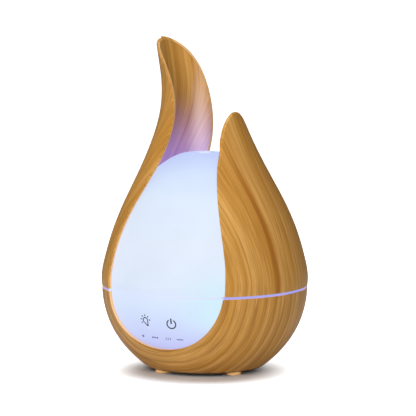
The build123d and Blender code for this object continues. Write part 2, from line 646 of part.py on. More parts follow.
BOARD_TOP = Plane.XY.offset(BOARD_Z + BOARD_THICK)
with BuildPart() as drive_coil:
    add(washers(BOARD_TOP, [COIL_XY], 5.0, 0, 1.2))
    add(washers(BOARD_TOP.offset(1.2), [COIL_XY], 4.2, 0, 5.2))
    add(washers(BOARD_TOP.offset(6.4), [COIL_XY], 5.0, 0, 1.2))
finish(drive_coil.part, "drive_coil")

with BuildPart() as capacitors:
    add(washers(BOARD_TOP, CAPACITOR_XY, 3.2, 0, 8.0))
    fillet(capacitors.edges().filter_by(GeomType.CIRCLE).group_by(Axis.Z)[-1], 0.5)
finish(capacitors.part, "capacitors")

with BuildPart() as heat_sink:
    with BuildSketch(BOARD_TOP):
        with Locations(SINK_XY):
            Rectangle(8.0, 14.0)
            with Locations(*[(1.2, y) for y in (-5.6, -2.8, 0.0, 2.8, 5.6)]):
                Rectangle(5.8, 1.5, mode=Mode.SUBTRACT)
    extrude(amount=9.0)
finish(heat_sink.part, "heat_sink")

with BuildPart() as transistor:
    with BuildSketch(BOARD_TOP):
        with Locations((SINK_XY[0] - 6.3, SINK_XY[1])):
            Rectangle(4.5, 10.0)
    extrude(amount=8.5)
    chamfer(transistor.edges().filter_by(Axis.Z).group_by(Axis.X)[0], 0.6)
finish(transistor.part, "transistor")

with BuildPart() as control_chip:
    with BuildSketch(BOARD_TOP):
        with Locations(CHIP_XY):
            Rectangle(9.0, 6.0)
    extrude(amount=1.5)
    chamfer(control_chip.faces().sort_by(Axis.Z)[-1].edges(), 0.2)
finish(control_chip.part, "control_chip")

with BuildPart() as dc_socket:
    with BuildSketch(BOARD_TOP):
        with Locations((0, SOCKET_BACK_Y + SOCKET_BODY / 2)):
            Rectangle(SOCKET_WIDTH, SOCKET_BODY)
    extrude(amount=2 * (SOCKET_Z - BOARD_Z - BOARD_THICK))
    with BuildSketch(Plane.XZ.offset(-SOCKET_BACK_Y - SOCKET_BODY)):
        with Locations((0, SOCKET_Z)):
            Circle(4.0)
    extrude(amount=-SOCKET_NECK)
    with BuildSketch(Plane.XZ.offset(-SOCKET_BACK_Y - SOCKET_BODY - SOCKET_NECK)):
        with Locations((0, SOCKET_Z)):
            Circle(SOCKET_PLUG_RADIUS)
            Circle(1.05, mode=Mode.SUBTRACT)
    extrude(amount=SOCKET_DEPTH, mode=Mode.SUBTRACT)
finish(dc_socket.part, "dc_socket")

with BuildPart() as light_board:
    with BuildSketch(Plane.XY.offset(LIGHT_BOARD_Z)):
        Circle(57.8)
        Circle(53.2, mode=Mode.SUBTRACT)
    extrude(amount=LIGHT_BOARD_THICK)
finish(light_board.part, "light_board")

with BuildPart() as light_leds:
    for azimuth in range(10, 370, 45):
        with BuildSketch(Plane.XY.offset(LIGHT_BOARD_Z + LIGHT_BOARD_THICK)):
            with Locations(Pos(*around(azimuth, LED_RING)) * Rot(0, 0, azimuth - 90)):
                Rectangle(2.8, 3.5)
        extrude(amount=1.5)
finish(light_leds.part, "light_leds")

with BuildPart() as touch_board:
    with BuildSketch(Plane.XZ.offset(-TOUCH_BOARD_Y - TOUCH_BOARD_THICK)):
        with Locations((0, 36.4)):
            Rectangle(35.0, 19.6)
        with Locations(*TOUCH_POSTS):
            Circle(1.1, mode=Mode.SUBTRACT)
    extrude(amount=TOUCH_BOARD_THICK)
finish(touch_board.part, "touch_board")

with BuildPart() as touch_pads:
    with BuildSketch(Plane.XZ.offset(-TOUCH_BOARD_Y)):
        with Locations(*[around_flat(azimuth, KEY_Z) for azimuth in KEY_AZIMUTHS]):
            Circle(3.2)
    extrude(amount=6.4)
finish(touch_pads.part, "touch_pads")

with BuildPart() as indicator_leds:
    with BuildSketch(Plane.XZ.offset(-TOUCH_BOARD_Y)):
        with Locations(*[around_flat(azimuth, LABEL_Z) for azimuth in LABEL_AZIMUTHS]):
            Rectangle(1.6, 0.9)
    extrude(amount=0.8)
finish(indicator_leds.part, "indicator_leds")


# ------------------------------------------------------------------------- leads
def corner_radii(route):
    """Largest arc for each corner that leaves a tenth of its shorter run straight."""
    radii = []
    for a, b, c in zip(route, route[1:], route[2:]):
        before, after = Vector(*b) - Vector(*a), Vector(*c) - Vector(*b)
        turn = before.get_angle(after)
        radii.append(0.45 * min(before.length, after.length) / tan(radians(turn / 2)))
    return radii


def lead(label, route):
    """Insulated lead: straight runs joined by tangent arcs."""
    radii = corner_radii(route)
    with BuildPart() as wire:
        with BuildLine():
            path = FilletPolyline(*route, radius=radii)
        with BuildSketch(Plane(origin=path @ 0, z_dir=path % 0)):
            Circle(LEAD_RADIUS)
        sweep(path=path)
    print(label, "corner radii", [round(r, 1) for r in radii])
    finish(wire.part, label)


lead("fan_lead", [(-12.0, -9.0, 15.2), (-12.0, -15.0, 15.2), (-5.0, -21.0, 15.6), (3.0, -22.0, 14.5)])
lead("transducer_lead", [(4.0, 2.0, DISC_Z), (4.0, 2.0, 18.2), (9.0, -2.0, 15.4), (14.0, -6.0, 14.5)])
lead("light_lead", [(43.0, 34.0, LIGHT_BOARD_Z), (43.0, 34.0, 37.0), (41.0, 32.0, 26.0),
                    (35.0, 27.0, 17.5), (29.0, 21.0, 14.5)])
lead("touch_lead", [(6.0, -51.5, 31.0), (6.0, -51.0, 25.0), (6.4, -48.5, 20.0),
                    (7.2, -43.0, 16.2), (8.0, -36.0, 14.5)])
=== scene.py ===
# %% [markdown]
# # A cool mist humidifier with a wood-look case
# The humidifier is a round bowl with a lift-off cover that rises into two petals, one tall and one
# short. A milky dome glows in the opening between them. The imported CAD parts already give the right
# shape and place of every piece, so this lesson starts from them and adds finishes, printed marks
# and light.

# %% Load the frame
import math

import bmesh
import bpy
from mathutils import Matrix, Vector


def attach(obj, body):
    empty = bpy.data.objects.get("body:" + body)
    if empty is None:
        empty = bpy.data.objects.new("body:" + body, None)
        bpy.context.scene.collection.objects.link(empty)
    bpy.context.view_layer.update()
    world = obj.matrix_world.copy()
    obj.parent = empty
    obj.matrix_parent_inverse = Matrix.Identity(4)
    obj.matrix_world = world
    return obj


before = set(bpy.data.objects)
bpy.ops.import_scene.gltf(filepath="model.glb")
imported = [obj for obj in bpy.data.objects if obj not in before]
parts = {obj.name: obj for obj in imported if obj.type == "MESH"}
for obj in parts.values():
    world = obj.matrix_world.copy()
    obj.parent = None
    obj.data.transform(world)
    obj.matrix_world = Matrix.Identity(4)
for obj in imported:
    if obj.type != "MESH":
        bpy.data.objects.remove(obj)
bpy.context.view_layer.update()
MM = 0.001

# %% [markdown]
# ## Camera
# A product picture is taken from far away with a long lens, which keeps the sides of the case
# parallel. The camera stands a little to the right of the front and a little above the middle.

# %% Camera
TURN = math.radians(29.5)
RISE = math.radians(6.32)
DISTANCE = 2.0
right = Vector((math.cos(TURN), math.sin(TURN), 0))
back = Vector((math.sin(TURN) * math.cos(RISE), -math.cos(TURN) * math.cos(RISE), math.sin(RISE)))
target = Vector((0, 0, 109.55 * MM)) + right * 2.17 * MM
camera = bpy.data.objects.new("camera", bpy.data.cameras.new("camera"))
bpy.context.scene.collection.objects.link(camera)
camera.location = target + back * DISTANCE
camera.rotation_euler = (-back).to_track_quat("-Z", "Y").to_euler()
camera.data.lens = 254.74
camera.data.clip_end = 20
bpy.context.scene.camera = camera
bpy.context.scene.view_settings.view_transform = "Standard"
print("camera at", tuple(round(c, 3) for c in camera.location))

# %% [markdown]
# ## Small helpers for materials
# Colours are easiest to think of as the 0 to 255 values of a paint chart, but shaders mix them in
# linear light, so one helper changes the one to the other. The other helpers add a node and join
# sockets, which keeps every recipe below short.


# %% Helpers for colours and nodes
BLACK = (0, 0, 0, 1)


def paint(r, g, b):
    """Linear colour of a paint-chart value."""
    def linear(c):
        c /= 255
        return c / 12.92 if c <= 0.04045 else ((c + 0.055) / 1.055) ** 2.4
    return (linear(r), linear(g), linear(b), 1.0)


def add(tree, kind, settings=None, **inputs):
    """Adds a node; each input is a value or a socket. An underscore and number picks by place."""
    node = tree.nodes.new(kind)
    for name, value in (settings or {}).items():
        setattr(node, name, value)
    for name, value in inputs.items():
        key = int(name[1:]) if name[1:].isdigit() else name.replace("_", " ")
        socket = node.inputs[key]
        if isinstance(value, bpy.types.NodeSocket):
            tree.links.new(value, socket)
        else:
            socket.default_value = value
    return node


def maths(tree, operation, *values):
    """Result of a Math node."""
    inputs = {f"_{i}": value for i, value in enumerate(values)}
    return add(tree, "ShaderNodeMath", {"operation": operation}, **inputs).outputs[0]


def together(tree, *factors):
    """Product of several values."""
    product = factors[0]
    for factor in factors[1:]:
        product = maths(tree, "MULTIPLY", product, factor)
    return product


def other_part(tree, share):
    """What is left of a share of one."""
    return maths(tree, "SUBTRACT", 1.0, share)


def vector_maths(tree, operation, first, second=None):
    """Vector Math node; its result is its output Vector or Value."""
    inputs = {"_0": first} if second is None else {"_0": first, "_1": second}
    return add(tree, "ShaderNodeVectorMath", {"operation": operation}, **inputs).outputs


def object_place(tree):
    """Place on the object as a vector, and its three numbers."""
    here = add(tree, "ShaderNodeTexCoord").outputs["Object"]
    return here, add(tree, "ShaderNodeSeparateXYZ", Vector=here).outputs


def blend(tree, factor, first, second):
    """Result of mixing two colours."""
    node = add(tree, "ShaderNodeMix", {"data_type": "RGBA"}, _0=factor, _6=first, _7=second)
    return node.outputs[2]


def between(tree, value, low, high, start=0.0, end=1.0):
    """A value in a range, smoothly mapped to another range."""
    node = add(tree, "ShaderNodeMapRange", {"interpolation_type": "SMOOTHSTEP"},
               Value=value, From_Min=low, From_Max=high, To_Min=start, To_Max=end)
    return node.outputs[0]


def noise(tree, vector, scale, detail=2.0, roughness=0.5):
    node = add(tree, "ShaderNodeTexNoise", Vector=vector, Scale=scale, Detail=detail,
               Roughness=roughness)
    return node.outputs["Fac"]


def new_group(name, inputs, outputs):
    """Node group with named sockets. Returns it and its two end nodes."""
    group = bpy.data.node_groups.new(name, "ShaderNodeTree")
    for label, kind, value in inputs:
        socket = group.interface.new_socket(label, in_out="INPUT", socket_type="NodeSocket" + kind)
        if value is not None:
            socket.default_value = value
    for label, kind in outputs:
        group.interface.new_socket(label, in_out="OUTPUT", socket_type="NodeSocket" + kind)
    return group, group.nodes.new("NodeGroupInput"), group.nodes.new("NodeGroupOutput")


def place(tree, group, **inputs):
    node = add(tree, "ShaderNodeGroup", {"node_tree": group}, **inputs)
    return node.outputs


print("helpers ready")

# %% [markdown]
# ## Printed wood
# The case is moulded plastic under a printed wood film and satin lacquer. A flat film that is
# stretched over a bowl shows its growth rings as nested arches around the opening. The same look
# comes from the angle between each point and the front, seen from inside the case: every ring is a
# band of that angle. All lengths in the group are in mm.

# %% Wood print group
LEAN_START_Z, LEAN_TOP, LEAN_SPAN, LEAN_POWER = 95.0, 7.7, 133.0, 1.75
RING_MIDDLE_Z = 60.0
wood_print, given, result = new_group(
    "wood print",
    [("Ring Width", "Float", 7.0), ("Ring Depth", "Float", 0.5), ("Band At", "Float", 90.0),
     ("Band Depth", "Float", 0.5), ("Wander", "Float", 6.0), ("Pale", "Color", paint(214, 162, 88)),
     ("Honey", "Color", paint(192, 136, 58)), ("Dark", "Color", paint(138, 82, 22))],
    [("Color", "Color"), ("Height", "Float"), ("Roughness", "Float")])
t = wood_print
here, axes = object_place(t)
x, y, z = (maths(t, "MULTIPLY", axes[i], 1000.0) for i in range(3))

# the round sections lean towards the tall petal, so the print leans with them
rise = maths(t, "DIVIDE", maths(t, "MAXIMUM", maths(t, "SUBTRACT", z, LEAN_START_Z), 0.0), LEAN_SPAN)
across = maths(t, "ADD", x, maths(t, "MULTIPLY", maths(t, "POWER", rise, LEAN_POWER), LEAN_TOP))

# height over the middle of the rings, drawn out upwards
up = maths(t, "SUBTRACT", z, RING_MIDDLE_Z)
stretched = maths(t, "MULTIPLY", maths(t, "TANH", maths(t, "DIVIDE", up, 75.0)), 72.0)
is_low = maths(t, "LESS_THAN", up, 0.0)
level = maths(t, "ADD", together(t, up, is_low), together(t, stretched, other_part(t, is_low)))
spread = maths(t, "SQRT", maths(t, "ADD", together(t, across, across), together(t, level, level)))

# rings go evenly round from the front, and turn into upright lines at the rear
round_front = maths(t, "MULTIPLY", maths(t, "ARCTAN2", spread, maths(t, "MULTIPLY", y, -1.0)), 70.0)
straight = maths(t, "SUBTRACT", 196.0, maths(t, "ABSOLUTE", across))
at_rear = between(t, y, 15.0, 45.0)
rounded = maths(t, "ADD", together(t, round_front, other_part(t, at_rear)),
                together(t, straight, at_rear))
wander = together(t, maths(t, "SUBTRACT", noise(t, here, 16.0, 1.0), 0.5), given.outputs["Wander"])
waver = maths(t, "MULTIPLY", maths(t, "SUBTRACT", noise(t, here, 70.0, 1.0), 0.5), 0.7)
ring_at = maths(t, "ADD", maths(t, "ADD", rounded, wander), waver)
print("rings laid out with", len(t.nodes), "nodes")

# %% [markdown]
# With every point's place across the rings known, the rest is colour. Each ring darkens slowly and
# ends sharply, as late wood does. Fibres come from noise that is squeezed across the rings and
# drawn out along them, in a coarse and a fine size.

# %% Rings and fibres
along = maths(t, "MULTIPLY", maths(t, "ARCTAN2", level, across), 45.0)
depth = maths(t, "MULTIPLY", y, 0.004)
fibre_place = add(t, "ShaderNodeCombineXYZ", X=ring_at, Y=maths(t, "MULTIPLY", along, 0.03),
                  Z=depth).outputs[0]
broad_place = add(t, "ShaderNodeCombineXYZ", X=maths(t, "MULTIPLY", ring_at, 0.12),
                  Y=maths(t, "MULTIPLY", along, 0.01), Z=maths(t, "MULTIPLY", depth, 0.3)).outputs[0]
fine = noise(t, fibre_place, 0.7, 3.0, 0.6)
hair = noise(t, fibre_place, 2.4, 1.0, 0.5)
broad = noise(t, broad_place, 1.0, 2.0, 0.55)
turn = maths(t, "FRACT", maths(t, "ADD", maths(t, "DIVIDE", ring_at, given.outputs["Ring Width"]),
                               maths(t, "MULTIPLY", broad, 2.2)))
late = together(t, between(t, turn, 0.45, 0.93), between(t, turn, 1.0, 0.93))
ring_mark = together(t, late, given.outputs["Ring Depth"])
away = maths(t, "ABSOLUTE", maths(t, "SUBTRACT", ring_at, given.outputs["Band At"]))
band = together(t, between(t, away, 3.6, 0.6), between(t, z, 165.0, 115.0),
                given.outputs["Band Depth"])
streak = maths(t, "MULTIPLY", between(t, fine, 0.46, 0.7), 0.3)
hair_mark = maths(t, "MULTIPLY", between(t, hair, 0.46, 0.6), 0.3)
wood = blend(t, between(t, broad, 0.34, 0.66), given.outputs["Honey"], given.outputs["Pale"])
wood = blend(t, band, wood, paint(150, 80, 24))
for mark in (ring_mark, streak, hair_mark):
    wood = blend(t, mark, wood, given.outputs["Dark"])
t.links.new(wood, result.inputs["Color"])
t.links.new(other_part(t, maths(t, "ADD", hair_mark, streak)), result.inputs["Height"])
t.links.new(between(t, broad, 0.3, 0.7, 0.40, 0.50), result.inputs["Roughness"])
print("wood print has", len(t.nodes), "nodes")

# %% [markdown]
# ## Moulded surface
# No moulded part is perfectly even: the tool leaves a very fine texture, and handling leaves faint
# smudges in the gloss. One group gives both, and each plastic below takes its own amount.

# %% Moulded surface group
moulded, given, result = new_group(
    "moulded surface",
    [("Texture Size", "Float", 0.6), ("Smudge", "Float", 0.08), ("Gloss", "Float", 0.4),
     ("Tint", "Color", (0.5, 0.5, 0.5, 1)), ("Variation", "Float", 0.08)],
    [("Color", "Color"), ("Roughness", "Float"), ("Height", "Float")])
t = moulded
here = add(t, "ShaderNodeTexCoord").outputs["Object"]
grit = noise(t, here, maths(t, "DIVIDE", 1000.0, given.outputs["Texture Size"]), 2.0, 0.6)
cloud = noise(t, here, 45.0, 3.0, 0.55)
uneven = maths(t, "SUBTRACT", cloud, 0.5)
smudge = together(t, uneven, given.outputs["Smudge"])
t.links.new(maths(t, "ADD", given.outputs["Gloss"], smudge), result.inputs["Roughness"])
t.links.new(grit, result.inputs["Height"])
shade = maths(t, "ADD", 1.0, together(t, uneven, given.outputs["Variation"]))
scaled = add(t, "ShaderNodeVectorMath", {"operation": "SCALE"}, _0=given.outputs["Tint"],
             Scale=shade)
t.links.new(scaled.outputs[0], result.inputs["Color"])
print("moulded surface ready")


# %% A plain moulded plastic, rubber or metal
def finish_of(name, tint, gloss=0.4, texture=0.6, bump=0.15, smudge=0.1, variation=0.1, **sockets):
    """Material of one moulded or cast finish. Extra values go on the shader's own sockets."""
    made = bpy.data.materials.new(name)
    made.use_nodes = True
    tree = made.node_tree
    shader = tree.nodes["Principled BSDF"]
    skin = place(tree, moulded, Texture_Size=texture, Smudge=smudge, Gloss=gloss, Tint=tint,
                 Variation=variation)
    tree.links.new(skin["Color"], shader.inputs["Base Color"])
    tree.links.new(skin["Roughness"], shader.inputs["Roughness"])
    dent = add(tree, "ShaderNodeBump", Height=skin["Height"], Strength=bump, Distance=0.0002)
    tree.links.new(dent.outputs[0], shader.inputs["Normal"])
    for label, value in sockets.items():
        shader.inputs[label.replace("_", " ")].default_value = value
    return made


def dress(material, *names):
    """Gives CAD parts a finish."""
    for name in names:
        piece = parts[name].data
        piece.materials.clear()
        piece.materials.append(material)


print("plain finishes can be made")


# %% [markdown]
# ## Case finish
# Bowl and cover have the same print, with the rings stretched upwards on the cover. The lacquer is the
# shader's coat. Inside the tall petal a painted violet glow stands for the dome's light spilling onto
# the wood. It is strongest just above the mist hole and fades upwards, with a painted pale sheen
# beside it. The cut faces of the openings are paler, for bare plastic and for painted light from the
# dome, and near the dome they glow with painted light.

# %% Painted light that spills onto the tall petal
def painted_spill_light(tree, here, axes, normal):
    """Painted violet light above the dome and a painted pale sheen beside it, on inner faces only."""
    outwards = vector_maths(tree, "MULTIPLY", here, (1.0, 1.0, 0.0))["Vector"]
    outwards = vector_maths(tree, "NORMALIZE", outwards)["Vector"]
    facing = vector_maths(tree, "DOT_PRODUCT", normal, outwards)["Value"]
    inner = between(tree, facing, -0.7, -0.86)
    fade = between(tree, axes[2], 0.196, 0.136)
    strength = together(tree, maths(tree, "POWER", fade, 1.5), inner)
    # painted light: a violet glow on the inner faces, fading upwards from the dome
    violet = blend(tree, strength, BLACK, (0.07, 0.055, 0.46, 1))
    # painted highlight: a pale sheen in an upright band beside the dome
    around = maths(tree, "ARCTAN2", axes[1], maths(tree, "ADD", axes[0], 0.0035))
    off = maths(tree, "ABSOLUTE", maths(tree, "SUBTRACT", around, 2.08))
    streak = together(tree, between(tree, off, 0.36, 0.0), between(tree, axes[2], 0.216, 0.168), inner)
    painted_sheen = blend(tree, streak, BLACK, (0.24, 0.23, 0.25, 1))
    return violet, painted_sheen


print("inner glow can be placed")


# %% Case wood
def case_wood(name, ring_width, ring_depth, band_depth, wander, painted_spill):
    """Printed wood under satin lacquer, paler on cut faces for bare plastic and painted light, with a
    painted glow near the dome.
    """
    made = bpy.data.materials.new(name)
    made.use_nodes = True
    tree = made.node_tree
    shader = tree.nodes["Principled BSDF"]
    film = place(tree, wood_print, Ring_Width=ring_width, Ring_Depth=ring_depth,
                 Band_Depth=band_depth, Wander=wander)
    tree.links.new(film["Roughness"], shader.inputs["Roughness"])
    dent = add(tree, "ShaderNodeBump", Height=film["Height"], Strength=0.12, Distance=0.0002)
    tree.links.new(dent.outputs[0], shader.inputs["Normal"])
    shader.inputs["Coat Weight"].default_value = 0.05
    shader.inputs["Coat Roughness"].default_value = 0.25
    shader.inputs["Specular IOR Level"].default_value = 0.12

    # the cuts run straight from front to back, so their faces look sideways
    here, axes = object_place(tree)
    normal = add(tree, "ShaderNodeNewGeometry").outputs["Normal"]
    slope = add(tree, "ShaderNodeSeparateXYZ", Vector=normal).outputs
    sideways = between(tree, maths(tree, "ABSOLUTE", slope[1]), 0.12, 0.04)
    off_middle = maths(tree, "GREATER_THAN", maths(tree, "ABSOLUTE", axes[1]), 0.0095)
    above_foot = maths(tree, "GREATER_THAN", axes[2], 0.0185)
    bare_and_lit_cut = together(tree, sideways, off_middle, above_foot)
    # the cut faces get a paler colour: bare plastic, and painted light from the dome
    film_colour = blend(tree, maths(tree, "MULTIPLY", bare_and_lit_cut, 0.8), film["Color"],
                        paint(236, 186, 126))
    tree.links.new(film_colour, shader.inputs["Base Color"])
    # painted glow: the cut faces emit a warm light, strongest low down, near the dome
    painted_dome_glow = together(tree, bare_and_lit_cut, between(tree, axes[2], 0.165, 0.125, 0.25, 1.0))
    painted_glow = blend(tree, painted_dome_glow, BLACK, (0.22, 0.135, 0.085, 1))
    # the cover adds painted violet light and a painted sheen on its inner faces
    if painted_spill:
        for painted_light in painted_spill_light(tree, here, axes, normal):
            painted_glow = vector_maths(tree, "ADD", painted_glow, painted_light)["Vector"]
    tree.links.new(painted_glow, shader.inputs["Emission Color"])
    shader.inputs["Emission Strength"].default_value = 1.0
    return made


dress(case_wood("cover wood", 5.0, 0.2, 0.62, 3.0, True), "petal_cover")
dress(case_wood("bowl wood", 7.5, 0.48, 0.0, 7.0, False), "base_shell")
print("wood on cover and bowl")


# %% [markdown]
# ## Glowing parts
# The dome, the key panel and the light ring are milky plastic lit from inside. Light from the LEDs
# is brightest low in the dome and turns bluer towards its top and towards the foot of the panel.
# The colour is a ramp over height, and the shader keeps a soft gloss over it.

# %% Glow
def glowing(name, heights, colours, strength, side_colour=None, window_colour=None):
    """Milky plastic lit from inside; colours change with height, in mm."""
    made = bpy.data.materials.new(name)
    made.use_nodes = True
    tree = made.node_tree
    shader = tree.nodes["Principled BSDF"]
    here, axes = object_place(tree)
    low, high = heights[0] * MM, heights[-1] * MM
    level = add(tree, "ShaderNodeMapRange", Value=axes[2], From_Min=low, From_Max=high).outputs[0]
    ramp = tree.nodes.new("ShaderNodeValToRGB")
    tree.links.new(level, ramp.inputs[0])
    stops = ramp.color_ramp.elements
    while len(stops) < len(heights):
        stops.new(0.5)
    for stop, h, colour in zip(stops, heights, colours):
        stop.position = (h * MM - low) / (high - low)
        stop.color = paint(*colour)
    light = ramp.outputs[0]
    if window_colour:
        in_window = together(tree, between(tree, axes[1], -0.050, -0.053),
                             between(tree, maths(tree, "ABSOLUTE", axes[0]), 0.0446, 0.0438))
        light = blend(tree, in_window, light, paint(*window_colour))
    if side_colour:
        aside = together(tree, between(tree, axes[0], 0.006, 0.046),
                         between(tree, axes[2], 0.026, 0.044), between(tree, axes[2], 0.085, 0.056))
        light = blend(tree, aside, light, paint(*side_colour))
    cloud = noise(tree, here, 30.0, 2.0)
    softened = add(tree, "ShaderNodeVectorMath", {"operation": "SCALE"}, _0=light,
                   Scale=between(tree, cloud, 0.2, 0.8, 0.97, 1.03)).outputs[0]
    tree.links.new(softened, shader.inputs["Emission Color"])
    skin = place(tree, moulded, Texture_Size=0.5, Smudge=0.1, Gloss=0.5,
                 Tint=(0.08, 0.08, 0.084, 1), Variation=0.05)
    tree.links.new(skin["Color"], shader.inputs["Base Color"])
    tree.links.new(skin["Roughness"], shader.inputs["Roughness"])
    dent = add(tree, "ShaderNodeBump", Height=skin["Height"], Strength=0.05, Distance=0.0001)
    tree.links.new(dent.outputs[0], shader.inputs["Normal"])
    shader.inputs["Specular IOR Level"].default_value = 0.2
    shader.inputs["Emission Strength"].default_value = strength
    return made


dress(glowing("dome glow", (57.9, 64, 90, 118, 136, 147.8),
              ((218, 231, 255), (224, 236, 255), (227, 238, 255), (221, 236, 255),
               (207, 225, 255), (190, 208, 255)), 0.87, side_colour=(213, 242, 255)), "mist_dome")
dress(glowing("panel glow", (20, 28, 38, 48, 57),
              ((186, 190, 245), (196, 206, 252), (204, 217, 253), (210, 226, 254),
               (216, 230, 255)), 0.9, side_colour=(208, 241, 255)), "front_panel")
dress(glowing("ring glow", (56, 58), ((160, 160, 240), (166, 166, 242)), 0.93,
              window_colour=(214, 225, 252)), "light_ring")
print("three glowing finishes")

# %% [markdown]
# ## Inner parts
# They show when the cover is off, when the unit lies on its back, or through the socket hole. Each
# takes the finish of its own stuff: milky tank, rubber, brass or copper, bare metal, boards. The mist
# nozzle and the feet also carry a painted glow.

# %% Inner finishes
screws = [n for n in parts if n.endswith("_screws")]
feet = [n for n in parts if n.startswith("foot_")]
dress(finish_of("black plastic", paint(28, 28, 30), gloss=0.45),
      "fan_housing", "fan_rotor", "air_duct", "transistor", "control_chip", "dc_socket")
dress(finish_of("brown plastic", paint(112, 76, 40), gloss=0.5), "bottom_cover")
dress(finish_of("milky tank", paint(232, 234, 236), gloss=0.28, Subsurface_Weight=0.2),
      "water_tank", "duct_cap", "air_tube")
dress(finish_of("silicone", paint(214, 214, 208), gloss=0.55, Subsurface_Weight=0.1),
      "transducer_seal")
# The nozzle's emission is a painted glow from the light in the dome.
dress(finish_of("clear silicone", paint(226, 230, 236), gloss=0.3, Transmission_Weight=0.3,
                Emission_Color=paint(176, 196, 255), Emission_Strength=0.25), "mist_nozzle")
# The feet's emission is a painted glow that lifts them out of the shade under the bowl.
dress(finish_of("amber rubber", paint(250, 200, 128), gloss=0.5, Coat_Weight=0.3,
                Emission_Color=paint(240, 170, 100), Emission_Strength=0.12), *feet)
dress(finish_of("touch foam", paint(58, 58, 62), gloss=0.85, texture=1.2, bump=0.6), "touch_pads")
print("plastics and rubbers on", len(feet) + 13, "parts")

# %% Metals, boards and leads
dress(finish_of("nickel disc", paint(196, 192, 184), gloss=0.22, Metallic=1.0), "transducer_disc")
dress(finish_of("steel", paint(168, 170, 174), gloss=0.3, texture=0.3, Metallic=1.0),
      "transducer_bracket", "fan_shaft", *screws)
dress(finish_of("bronze bush", paint(168, 122, 66), gloss=0.35, Metallic=1.0), "fan_bearing")
dress(finish_of("copper wire", paint(190, 104, 62), gloss=0.3, Metallic=1.0),
      "fan_stator", "drive_coil")
dress(finish_of("aluminium", paint(182, 184, 188), gloss=0.38, Metallic=1.0), "heat_sink")
dress(finish_of("circuit board", paint(26, 92, 52), gloss=0.3, variation=0.5),
      "main_board", "light_board", "touch_board")
dress(finish_of("capacitor sleeve", paint(26, 30, 66), gloss=0.25), "capacitors")
dress(finish_of("led", paint(238, 240, 226), gloss=0.2, Transmission_Weight=0.2),
      "light_leds", "indicator_leds")
dress(finish_of("red lead", paint(176, 32, 28), gloss=0.4), "fan_lead", "touch_lead")
dress(finish_of("white lead", paint(222, 222, 216), gloss=0.4), "transducer_lead", "light_lead")
print(len(bpy.data.materials), "materials")

# %% [markdown]
# ## Printed marks
# The two keys carry a lamp mark and a power mark, and four faint marks below them stand for the
# run times. Ink has a little body, so each stroke is a thin bar or ring. They are made flat, then
# laid on the panel: every corner is carried straight in from the front until it meets the panel.


# %% Flat strokes
ARC_STEP = 12            # degrees of an arc to each face
BAR_STEPS = 4            # faces along a straight bar


def stroke_arc(mesh, centre, radius, width, start, end):
    """Part of a flat ring, made by turning a short bar about the centre."""
    mid = Vector((centre[0], centre[1], 0))
    a = math.radians(start)
    tip = Vector((math.cos(a), math.sin(a), 0))
    inside = mesh.verts.new(mid + tip * (radius - width / 2))
    outside = mesh.verts.new(mid + tip * (radius + width / 2))
    bar = mesh.edges.new((inside, outside))
    whole = end - start >= 360
    bmesh.ops.spin(mesh, geom=[inside, outside, bar], cent=mid, axis=(0, 0, 1),
                   angle=math.radians(end - start), steps=int((end - start) / ARC_STEP),
                   use_merge=whole)


def stroke_line(mesh, first, last, width):
    """Flat bar between two points, divided so that it can follow the panel."""
    a, b = Vector((*first, 0)), Vector((*last, 0))
    side = (b - a).cross(Vector((0, 0, 1))).normalized() * width / 2
    ends = [mesh.verts.new(a - side), mesh.verts.new(a + side)]
    edge = mesh.edges.new(ends)
    rim = [edge]
    for _ in range(BAR_STEPS):
        grown = bmesh.ops.extrude_edge_only(mesh, edges=rim)["geom"]
        corners = [g for g in grown if isinstance(g, bmesh.types.BMVert)]
        bmesh.ops.translate(mesh, verts=corners, vec=(b - a) / BAR_STEPS)
        rim = [g for g in grown if isinstance(g, bmesh.types.BMEdge)]


def dot(mesh, centre, radius):
    """Flat round dot."""
    made = bmesh.ops.create_circle(mesh, cap_ends=True, segments=14, radius=radius)
    bmesh.ops.translate(mesh, verts=made["verts"], vec=(*centre, 0))


print("strokes: arc, line, dot")

# %% Lay a mark on the panel
INK = 0.12               # mm above and below the skin of the panel
panel = parts["front_panel"]


def lay_on_panel(name, draw, azimuth, z, tilt, material):
    """Makes a mark piece from its flat strokes, in mm, at an azimuth and height on the panel."""
    mesh = bmesh.new()
    draw(mesh)
    bmesh.ops.rotate(mesh, verts=mesh.verts, cent=(0, 0, 0), matrix=Matrix.Rotation(tilt, 3, "Z"))
    bmesh.ops.recalc_face_normals(mesh, faces=mesh.faces)
    for face in mesh.faces:
        if face.normal.z < 0:
            face.normal_flip()
    body = bmesh.ops.extrude_face_region(mesh, geom=list(mesh.faces))["geom"]
    raised = {g for g in body if isinstance(g, bmesh.types.BMVert)}
    middle = math.radians(azimuth)
    face_dir = Vector((math.sin(middle), -math.cos(middle), 0))
    side_dir = Vector((math.cos(middle), math.sin(middle), 0))
    missed = 0
    for corner in mesh.verts:
        start = face_dir * 0.1 + side_dir * corner.co.x * MM
        start.z = (z + corner.co.y) * MM
        found, hit, normal, _ = panel.ray_cast(start, -face_dir)
        missed += not found
        lift = INK if corner in raised else -INK
        corner.co = hit + normal * lift * MM
    bmesh.ops.recalc_face_normals(mesh, faces=mesh.faces)
    data = bpy.data.meshes.new(name)
    mesh.to_mesh(data)
    mesh.free()
    piece = bpy.data.objects.new(name, data)
    bpy.context.scene.collection.objects.link(piece)
    data.materials.append(material)
    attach(piece, "base")
    print(name, len(data.polygons), "faces,", missed, "corners off the panel")


# %% Key marks
ink = finish_of("grey ink", paint(30, 30, 48), gloss=0.5, bump=0.05)
faint_ink = finish_of("faint ink", paint(104, 102, 146), gloss=0.5, bump=0.05)


